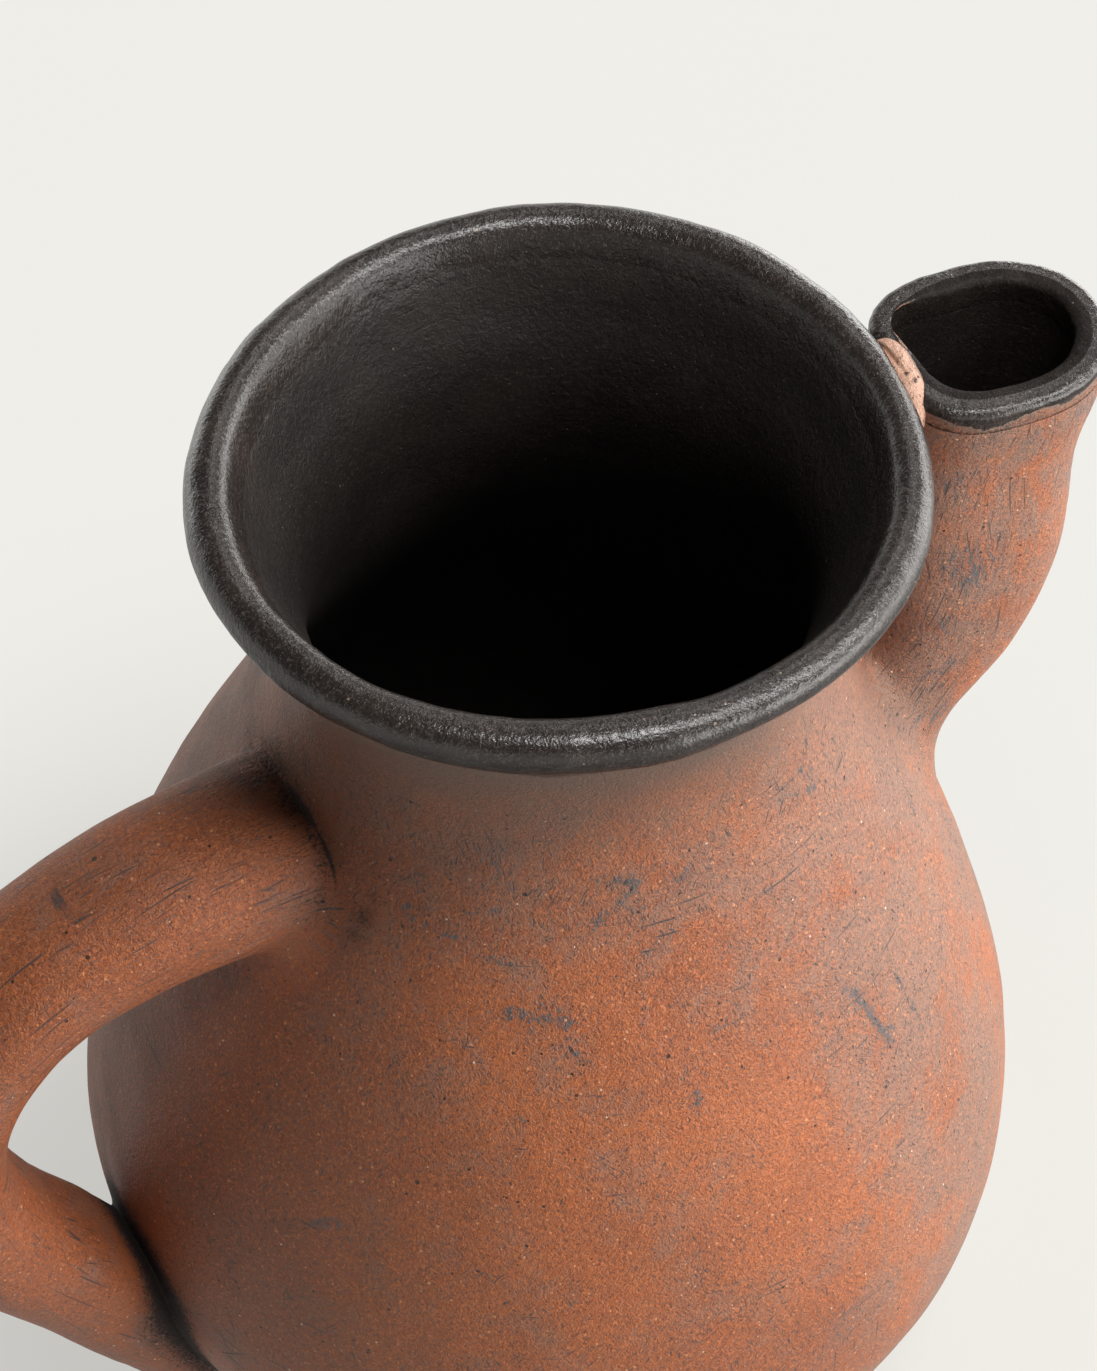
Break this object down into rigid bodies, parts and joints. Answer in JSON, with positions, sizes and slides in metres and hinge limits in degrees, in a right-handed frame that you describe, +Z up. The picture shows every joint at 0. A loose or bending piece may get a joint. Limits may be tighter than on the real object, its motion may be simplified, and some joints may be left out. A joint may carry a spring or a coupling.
{
  "type": "spouted water jug",
  "caption": "Hand-built earthenware jug with a flared mouth, an upright spout bridged to its rim and a thick loop handle.",
  "frame": {"origin": "centre of the foot's flat underside", "axes": "+Z up along the axis of the jug's body, +X towards the spout; the handle is near -X"},
  "size_m": [0.2704, 0.2055, 0.2785],
  "materials": {
    "terracotta": "burnished matte earthenware with smoke marks",
    "black_slip": "charcoal slip with a satin gloss"
  },
  "bodies": {
    "root": {"foot_slab": "terracotta", "wall_bowl": "terracotta", "wall_belly": "terracotta", "wall_haunch": "terracotta", "wall_shoulder": "terracotta", "neck_collar": "terracotta", "rim_coil": "black_slip", "spout_tube": "terracotta", "spout_root_fillet": "terracotta", "spout_lip": "black_slip", "bridge_lug": "terracotta", "handle": "terracotta", "handle_upper_fillet": "terracotta", "handle_lower_fillet": "terracotta"}
  },
  "joints": []
}
